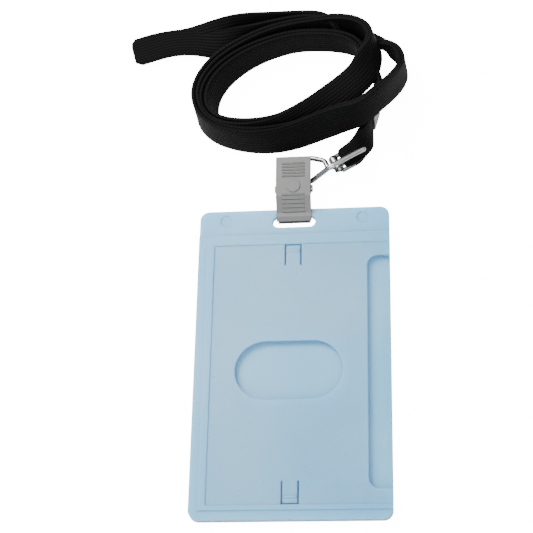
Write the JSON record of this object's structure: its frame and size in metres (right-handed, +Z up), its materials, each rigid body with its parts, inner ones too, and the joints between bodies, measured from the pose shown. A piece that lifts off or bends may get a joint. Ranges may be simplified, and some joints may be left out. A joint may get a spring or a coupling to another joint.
{
  "type": "lanyard badge holder",
  "caption": "Rigid side-loading card holder on a sprung jaw clip, a swivel hook and a flat coiled neck strap.",
  "frame": {"origin": "on the table plane, under the middle of the holder, clip and hook together", "axes": "+X across the holder towards its open side, +Y up the holder towards the clip, +Z up from the table, out of the holder's front"},
  "size_m": [0.0942, 0.1763, 0.011],
  "materials": {
    "clear_blue_back": "frosted translucent",
    "clear_blue_front": "frosted translucent",
    "plated_sheet": "satin plated",
    "plated_pin": "polished",
    "spring_steel": "drawn wire",
    "plated_wire": "polished",
    "plated_casting": "polished",
    "crimp_sheet": "polished",
    "black_webbing": "flat woven"
  },
  "bodies": {
    "lanyard": {"crimp": "crimp_sheet", "strap_end_loop": "black_webbing", "strap_lead": "black_webbing", "strap_coil": "black_webbing", "strap_tail": "black_webbing"},
    "eye": {"swivel_eye": "plated_casting"},
    "hook": {"hook_wire": "plated_wire"},
    "clip": {"rear_jaw": "plated_sheet", "pivot_pin": "plated_pin", "clip_spring": "spring_steel", "back_panel": "clear_blue_back", "front_cover": "clear_blue_front"},
    "jaw": {"front_jaw": "plated_sheet"}
  },
  "joints": [
    {"name": "eye_tilt", "type": "hinge", "parent": "lanyard", "child": "eye", "pos_m": [0.01881, 0.05916, 0.0043], "axis": [-0.4848, 0.8746, 0], "range_deg": [0, 10], "deforming": ["strap_end_loop"]},
    {"name": "swivel", "type": "hinge", "parent": "eye", "child": "hook", "pos_m": [0.014, 0.0565, 0.0043], "axis": [0.8746, 0.4848, 0], "range_deg": [-180, 180], "deforming": ["strap_coil", "strap_lead", "strap_tail"]},
    {"name": "hook_swing", "type": "hinge", "parent": "hook", "child": "clip", "pos_m": [0, 0.0558, 0.0023], "axis": [0, 0, 1], "range_deg": [-40, 0]},
    {"name": "jaw_open", "type": "hinge", "parent": "clip", "child": "jaw", "pos_m": [0, 0.048, 0.0045], "axis": [-1, 0, 0], "range_deg": [0, 15], "stiffness_Nm_per_rad": 0.03, "springref_deg": -68.75, "deforming": ["clip_spring"]}
  ]
}
